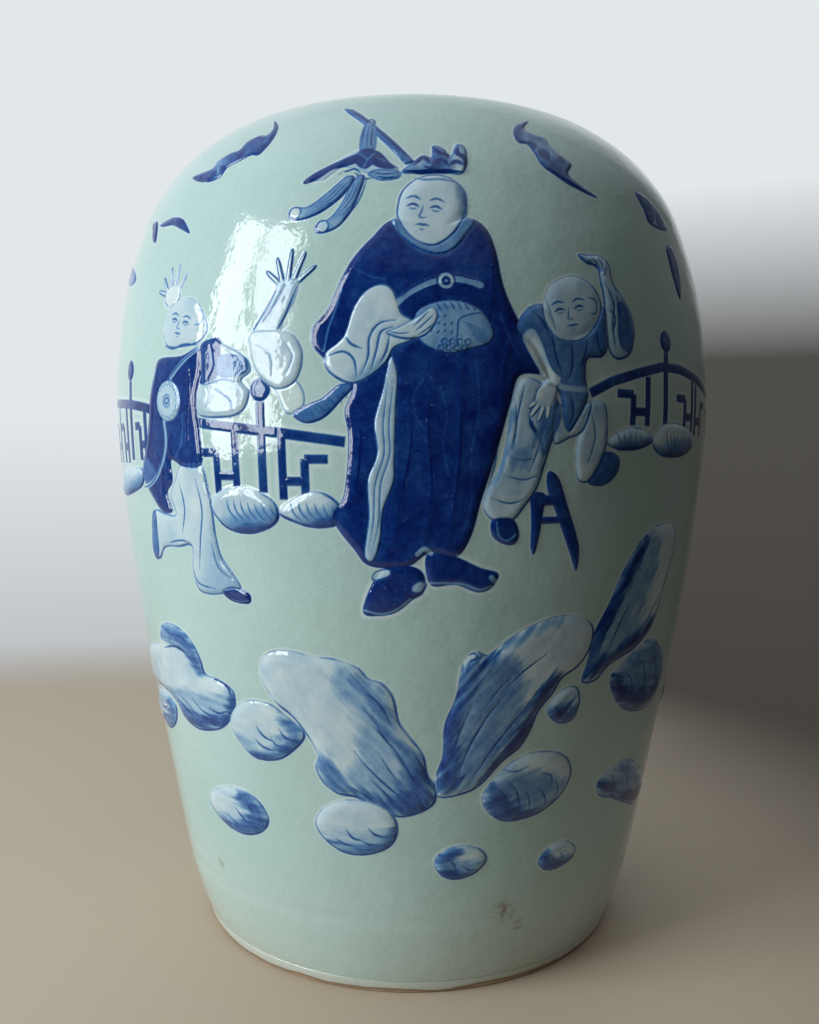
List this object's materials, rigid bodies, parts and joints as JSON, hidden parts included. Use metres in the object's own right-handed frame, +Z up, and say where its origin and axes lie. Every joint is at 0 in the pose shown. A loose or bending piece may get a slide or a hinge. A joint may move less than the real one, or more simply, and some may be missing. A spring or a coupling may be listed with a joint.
{
  "type": "ginger jar",
  "caption": "Ovoid glazed porcelain jar with a low neck, a turned foot and thin raised slip figures, rocks, fence and bats.",
  "frame": {"origin": "centre of the foot's underside, on the surface the jar stands on", "axes": "+Z up the jar's axis to the mouth, -Y to the front with the robed figure"},
  "size_m": [0.2404, 0.2428, 0.32],
  "materials": {
    "celadon_glaze": "gloss",
    "bare_porcelain": "matte",
    "white_slip": "gloss",
    "cobalt_slip": "gloss"
  },
  "bodies": {
    "root": {"back_attendant_head_hand": "white_slip", "back_attendant_jacket": "cobalt_slip", "back_attendant_trousers": "white_slip", "back_dish": "white_slip", "back_figure_head": "white_slip", "back_robe": "cobalt_slip", "back_sash": "white_slip", "back_shoes": "cobalt_slip", "back_sleeve": "white_slip", "back_topknot": "cobalt_slip", "bats": "cobalt_slip", "bats_back": "cobalt_slip", "big_rock_left": "white_slip", "big_rock_right": "white_slip", "boulders": "white_slip", "boulders_back": "white_slip", "clouds": "white_slip", "fan_leaf": "white_slip", "fence_back": "cobalt_slip", "fence_left": "cobalt_slip", "fence_right": "cobalt_slip", "figure_head": "white_slip", "foot_ring": "bare_porcelain", "hair_ribbons": "white_slip", "hairpin": "cobalt_slip", "leaves": "cobalt_slip", "left_cuff": "white_slip", "left_forearm": "white_slip", "left_hand": "white_slip", "left_head": "white_slip", "left_jacket": "cobalt_slip", "left_medallion": "white_slip", "left_shoe": "cobalt_slip", "left_trousers": "white_slip", "lower_body": "celadon_glaze", "neck_ring": "bare_porcelain", "offering_dish": "white_slip", "pebbles": "white_slip", "pebbles_back": "white_slip", "pine_trunk": "white_slip", "pine_tufts": "white_slip", "right_arm": "white_slip", "right_head": "white_slip", "right_jacket": "white_slip", "right_legs": "white_slip", "right_shoes": "cobalt_slip", "robe": "cobalt_slip", "rock_cluster": "white_slip", "rock_cluster_low": "white_slip", "rock_low_right": "white_slip", "rock_middle": "white_slip", "rock_under_slab": "white_slip", "rocks_back": "white_slip", "sash": "white_slip", "shoes": "cobalt_slip", "slab_rock": "white_slip", "sleeve": "white_slip", "stool": "cobalt_slip", "topknot": "cobalt_slip", "upper_body": "celadon_glaze"}
  },
  "joints": []
}
